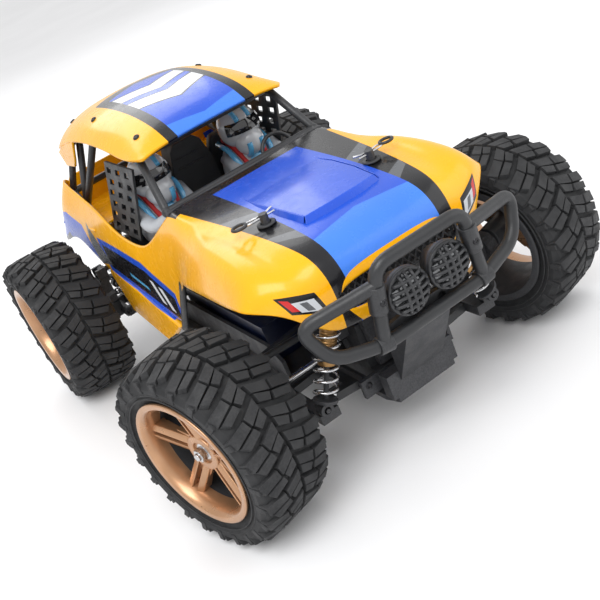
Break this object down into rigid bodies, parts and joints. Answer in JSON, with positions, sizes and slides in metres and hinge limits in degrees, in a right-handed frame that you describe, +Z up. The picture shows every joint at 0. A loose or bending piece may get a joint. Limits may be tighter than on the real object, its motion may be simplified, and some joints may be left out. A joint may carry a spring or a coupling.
{
  "type": "remote control buggy",
  "caption": "Four-wheel-drive radio-controlled desert buggy with caged body, tube bumper with round lamps, chevron tyres and sprung independent suspension.",
  "frame": {"origin": "on the ground, at the centre of the footprint, midway between the axles", "axes": "+Z up, the front faces -Y, the left side of the car is +X"},
  "size_m": [0.2958, 0.4269, 0.2],
  "materials": {
    "body_yellow": "gloss sheet, painted from inside",
    "cage_black": "satin moulded nylon",
    "chassis_black": "matt moulded nylon",
    "net_black": "satin moulded nylon",
    "tyre_rubber": "matt rubber",
    "rim_bronze": "metallic bronze lacquer",
    "bright_steel": "bright",
    "shock_bronze": "bronze anodised",
    "cockpit_grey": "gloss formed sheet",
    "battery_blue": "heat-shrink sleeve"
  },
  "bodies": {
    "chassis": {"chassis_plate": "chassis_black", "front_gearbox": "chassis_black", "rear_gearbox": "chassis_black", "front_shock_tower": "chassis_black", "rear_shock_tower": "chassis_black", "motor": "bright_steel", "battery_pack": "battery_blue", "receiver_box": "chassis_black", "steering_servo": "chassis_black", "front_bumper": "cage_black", "bumper_plate": "cage_black", "lamp_left": "cage_black", "lamp_right": "cage_black", "rear_bumper": "cage_black", "body_shell": "body_yellow", "grille_mesh": "cage_black", "roof_panel": "body_yellow", "roll_cage": "cage_black", "window_net_left": "net_black", "window_net_right": "net_black", "cockpit_insert": "cockpit_grey", "cockpit_steering_wheel": "cage_black"},
    "centre_drive": {"centre_driveshaft": "bright_steel"},
    "steering_rack": {"steering_rack": "cage_black"},
    "tie_rod_left": {"tie_rod_left": "cage_black"},
    "tie_rod_right": {"tie_rod_right": "cage_black"},
    "front_left_lower_arm": {"front_left_lower_arm": "cage_black"},
    "front_left_upper_link": {"front_left_upper_link": "cage_black"},
    "front_left_shock_body": {"front_left_shock_body": "shock_bronze", "front_left_shock_spring": "bright_steel"},
    "front_left_shock_rod": {"front_left_shock_rod": "bright_steel"},
    "front_left_caster_block": {"front_left_caster_block": "cage_black"},
    "front_left_knuckle": {"front_left_knuckle": "cage_black"},
    "front_left_wheel": {"front_left_tyre": "tyre_rubber", "front_left_rim": "rim_bronze"},
    "front_right_lower_arm": {"front_right_lower_arm": "cage_black"},
    "front_right_upper_link": {"front_right_upper_link": "cage_black"},
    "front_right_shock_body": {"front_right_shock_body": "shock_bronze", "front_right_shock_spring": "bright_steel"},
    "front_right_shock_rod": {"front_right_shock_rod": "bright_steel"},
    "front_right_caster_block": {"front_right_caster_block": "cage_black"},
    "front_right_knuckle": {"front_right_knuckle": "cage_black"},
    "front_right_wheel": {"front_right_tyre": "tyre_rubber", "front_right_rim": "rim_bronze"},
    "rear_left_lower_arm": {"rear_left_lower_arm": "cage_black"},
    "rear_left_upper_link": {"rear_left_upper_link": "cage_black"},
    "rear_left_shock_body": {"rear_left_shock_body": "shock_bronze", "rear_left_shock_spring": "bright_steel"},
    "rear_left_shock_rod": {"rear_left_shock_rod": "bright_steel"},
    "rear_left_hub_carrier": {"rear_left_hub_carrier": "cage_black"},
    "rear_left_wheel": {"rear_left_tyre": "tyre_rubber", "rear_left_rim": "rim_bronze"},
    "rear_right_lower_arm": {"rear_right_lower_arm": "cage_black"},
    "rear_right_upper_link": {"rear_right_upper_link": "cage_black"},
    "rear_right_shock_body": {"rear_right_shock_body": "shock_bronze", "rear_right_shock_spring": "bright_steel"},
    "rear_right_shock_rod": {"rear_right_shock_rod": "bright_steel"},
    "rear_right_hub_carrier": {"rear_right_hub_carrier": "cage_black"},
    "rear_right_wheel": {"rear_right_tyre": "tyre_rubber", "rear_right_rim": "rim_bronze"}
  },
  "joints": [
    {"name": "centre_drive_spin", "type": "hinge", "parent": "chassis", "child": "centre_drive", "pos_m": [0, 0, 0.056], "axis": [0, 1, 0], "continuous": true},
    {"name": "front_left_arm_hinge", "type": "hinge", "parent": "chassis", "child": "front_left_lower_arm", "pos_m": [0.028, -0.1275, 0.042], "axis": [0, -1, 0], "range_deg": [-10, 6], "stiffness_Nm_per_rad": 1.6, "springref_deg": -5.73},
    {"name": "front_left_carrier_hinge", "type": "hinge", "parent": "front_left_lower_arm", "child": "front_left_caster_block", "pos_m": [0.072, -0.1275, 0.044], "axis": [0, -1, 0], "range_deg": [-12, 12]},
    {"name": "front_left_link_hinge", "type": "hinge", "parent": "chassis", "child": "front_left_upper_link", "pos_m": [0.029, -0.1275, 0.076], "axis": [0, -1, 0], "range_deg": [-12, 12]},
    {"name": "front_left_shock_swing", "type": "hinge", "parent": "chassis", "child": "front_left_shock_body", "pos_m": [0.035, -0.1625, 0.102], "axis": [0, -1, 0], "range_deg": [-2, 2]},
    {"name": "front_left_shock_stroke", "type": "slide", "parent": "front_left_shock_body", "child": "front_left_shock_rod", "axis": [0.4402, 0, -0.8979], "range_m": [-0.0075, 0.0075], "deforming": ["front_left_shock_spring"]},
    {"name": "front_left_steer", "type": "hinge", "parent": "front_left_caster_block", "child": "front_left_knuckle", "pos_m": [0.0807, -0.1275, 0.0575], "axis": [0, 0, 1], "range_deg": [-44, 12]},
    {"name": "front_left_wheel_spin", "type": "hinge", "parent": "front_left_knuckle", "child": "front_left_wheel", "pos_m": [0.11079, -0.11887, 0.0575], "axis": [0.9613, 0.2756, 0], "continuous": true},
    {"name": "front_right_arm_hinge", "type": "hinge", "parent": "chassis", "child": "front_right_lower_arm", "pos_m": [-0.028, -0.1275, 0.042], "axis": [0, 1, 0], "range_deg": [-10, 6], "stiffness_Nm_per_rad": 1.6, "springref_deg": -5.73},
    {"name": "front_right_carrier_hinge", "type": "hinge", "parent": "front_right_lower_arm", "child": "front_right_caster_block", "pos_m": [-0.072, -0.1275, 0.044], "axis": [0, 1, 0], "range_deg": [-12, 12]},
    {"name": "front_right_link_hinge", "type": "hinge", "parent": "chassis", "child": "front_right_upper_link", "pos_m": [-0.029, -0.1275, 0.076], "axis": [0, 1, 0], "range_deg": [-12, 12]},
    {"name": "front_right_shock_swing", "type": "hinge", "parent": "chassis", "child": "front_right_shock_body", "pos_m": [-0.035, -0.1625, 0.102], "axis": [0, 1, 0], "range_deg": [-2, 2]},
    {"name": "front_right_shock_stroke", "type": "slide", "parent": "front_right_shock_body", "child": "front_right_shock_rod", "axis": [-0.4402, 0, -0.8979], "range_m": [-0.0075, 0.0075], "deforming": ["front_right_shock_spring"]},
    {"name": "front_right_steer", "type": "hinge", "parent": "front_right_caster_block", "child": "front_right_knuckle", "pos_m": [-0.0807, -0.1275, 0.0575], "axis": [0, 0, 1], "range_deg": [-45, 13]},
    {"name": "front_right_wheel_spin", "type": "hinge", "parent": "front_right_knuckle", "child": "front_right_wheel", "pos_m": [-0.11079, -0.13613, 0.0575], "axis": [0.9613, 0.2756, 0], "continuous": true},
    {"name": "rear_left_arm_hinge", "type": "hinge", "parent": "chassis", "child": "rear_left_lower_arm", "pos_m": [0.028, 0.1275, 0.042], "axis": [0, -1, 0], "range_deg": [-10, 9], "stiffness_Nm_per_rad": 1.6, "springref_deg": -5.73},
    {"name": "rear_left_carrier_hinge", "type": "hinge", "parent": "rear_left_lower_arm", "child": "rear_left_hub_carrier", "pos_m": [0.072, 0.1275, 0.044], "axis": [0, -1, 0], "range_deg": [-12, 12]},
    {"name": "rear_left_link_hinge", "type": "hinge", "parent": "chassis", "child": "rear_left_upper_link", "pos_m": [0.029, 0.1275, 0.076], "axis": [0, -1, 0], "range_deg": [-12, 12]},
    {"name": "rear_left_shock_swing", "type": "hinge", "parent": "chassis", "child": "rear_left_shock_body", "pos_m": [0.035, 0.1625, 0.102], "axis": [0, -1, 0], "range_deg": [-2, 2]},
    {"name": "rear_left_shock_stroke", "type": "slide", "parent": "rear_left_shock_body", "child": "rear_left_shock_rod", "axis": [0.4402, 0, -0.8979], "range_m": [-0.0075, 0.0075], "deforming": ["rear_left_shock_spring"]},
    {"name": "rear_left_wheel_spin", "type": "hinge", "parent": "rear_left_hub_carrier", "child": "rear_left_wheel", "pos_m": [0.112, 0.1275, 0.0575], "axis": [1, 0, 0], "continuous": true},
    {"name": "rear_right_arm_hinge", "type": "hinge", "parent": "chassis", "child": "rear_right_lower_arm", "pos_m": [-0.028, 0.1275, 0.042], "axis": [0, 1, 0], "range_deg": [-10, 9], "stiffness_Nm_per_rad": 1.6, "springref_deg": -5.73},
    {"name": "rear_right_carrier_hinge", "type": "hinge", "parent": "rear_right_lower_arm", "child": "rear_right_hub_carrier", "pos_m": [-0.072, 0.1275, 0.044], "axis": [0, 1, 0], "range_deg": [-12, 12]},
    {"name": "rear_right_link_hinge", "type": "hinge", "parent": "chassis", "child": "rear_right_upper_link", "pos_m": [-0.029, 0.1275, 0.076], "axis": [0, 1, 0], "range_deg": [-12, 12]},
    {"name": "rear_right_shock_swing", "type": "hinge", "parent": "chassis", "child": "rear_right_shock_body", "pos_m": [-0.035, 0.1625, 0.102], "axis": [0, 1, 0], "range_deg": [-2, 2]},
    {"name": "rear_right_shock_stroke", "type": "slide", "parent": "rear_right_shock_body", "child": "rear_right_shock_rod", "axis": [-0.4402, 0, -0.8979], "range_m": [-0.0075, 0.0075], "deforming": ["rear_right_shock_spring"]},
    {"name": "rear_right_wheel_spin", "type": "hinge", "parent": "rear_right_hub_carrier", "child": "rear_right_wheel", "pos_m": [-0.112, 0.1275, 0.0575], "axis": [1, 0, 0], "continuous": true},
    {"name": "steering_rack_slide", "type": "slide", "parent": "chassis", "child": "steering_rack", "axis": [1, 0, 0], "range_m": [-0.0045, 0.014]},
    {"name": "tie_rod_left_hinge", "type": "hinge", "parent": "steering_rack", "child": "tie_rod_left", "pos_m": [0.022, -0.1015, 0.069], "axis": [0, -1, 0], "range_deg": [-10, 10]},
    {"name": "tie_rod_right_hinge", "type": "hinge", "parent": "steering_rack", "child": "tie_rod_right", "pos_m": [-0.022, -0.1015, 0.069], "axis": [0, 1, 0], "range_deg": [-10, 10]}
  ],
  "couplings": [
    {"joint": "front_left_carrier_hinge", "follows": "front_left_arm_hinge", "ratio": -1},
    {"joint": "front_left_link_hinge", "follows": "front_left_arm_hinge", "ratio": 1},
    {"joint": "front_left_shock_swing", "follows": "front_left_arm_hinge", "ratio": 0.12},
    {"joint": "front_left_shock_stroke", "follows": "front_left_arm_hinge", "m_per_rad": -0.0327},
    {"joint": "front_right_carrier_hinge", "follows": "front_right_arm_hinge", "ratio": -1},
    {"joint": "front_right_link_hinge", "follows": "front_right_arm_hinge", "ratio": 1},
    {"joint": "front_right_shock_swing", "follows": "front_right_arm_hinge", "ratio": 0.12},
    {"joint": "front_right_shock_stroke", "follows": "front_right_arm_hinge", "m_per_rad": -0.0327},
    {"joint": "rear_left_carrier_hinge", "follows": "rear_left_arm_hinge", "ratio": -1},
    {"joint": "rear_left_link_hinge", "follows": "rear_left_arm_hinge", "ratio": 1},
    {"joint": "rear_left_shock_swing", "follows": "rear_left_arm_hinge", "ratio": 0.12},
    {"joint": "rear_left_shock_stroke", "follows": "rear_left_arm_hinge", "m_per_rad": -0.0327},
    {"joint": "rear_right_carrier_hinge", "follows": "rear_right_arm_hinge", "ratio": -1},
    {"joint": "rear_right_link_hinge", "follows": "rear_right_arm_hinge", "ratio": 1},
    {"joint": "rear_right_shock_swing", "follows": "rear_right_arm_hinge", "ratio": 0.12},
    {"joint": "rear_right_shock_stroke", "follows": "rear_right_arm_hinge", "m_per_rad": -0.0327},
    {"joint": "front_right_steer", "follows": "front_left_steer", "ratio": 1},
    {"joint": "steering_rack_slide", "follows": "front_left_steer", "m_per_rad": -0.0169},
    {"joint": "tie_rod_left_hinge", "follows": "front_left_arm_hinge", "ratio": 0.72},
    {"joint": "tie_rod_right_hinge", "follows": "front_right_arm_hinge", "ratio": 0.72}
  ]
}
